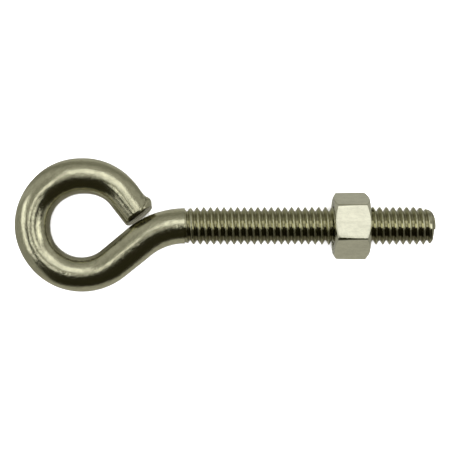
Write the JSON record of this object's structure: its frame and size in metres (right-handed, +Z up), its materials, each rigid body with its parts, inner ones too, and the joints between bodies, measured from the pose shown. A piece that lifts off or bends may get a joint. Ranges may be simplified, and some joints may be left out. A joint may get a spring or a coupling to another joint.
{
  "type": "eye bolt",
  "caption": "Bent-wire eye bolt: an open, unwelded round eye on a right-hand threaded shank, with a double-chamfered hex nut.",
  "frame": {"origin": "under the middle of the length, midway across the eye, at the height of the lowest point as the bolt lies with its eye level", "axes": "+X along the shank from the eye to the threaded end, +Y to the side that the wire's free end is on, +Z up, square to the plane of the eye"},
  "size_m": [0.0878, 0.0278, 0.0131],
  "materials": {
    "bolt_steel": "satin drawn wire",
    "nut_steel": "satin",
    "nut_face_steel": "turned"
  },
  "bodies": {
    "bolt": {"eye_bolt": "bolt_steel"},
    "nut_travel": {"nut_bearing_face": "nut_face_steel"},
    "nut": {"hex_nut": "nut_steel"}
  },
  "joints": [
    {"name": "nut_slide", "type": "slide", "parent": "bolt", "child": "nut_travel", "axis": [1, 0, 0], "range_m": [-0.02868, 0.01397]},
    {"name": "nut_turn", "type": "hinge", "parent": "nut_travel", "child": "nut", "pos_m": [0.0262, -0.00033, 0.00655], "axis": [1, 0, 0], "range_deg": [-7319, 3564]}
  ],
  "couplings": [
    {"joint": "nut_turn", "follows": "nut_slide", "rad_per_m": 4452.7}
  ]
}
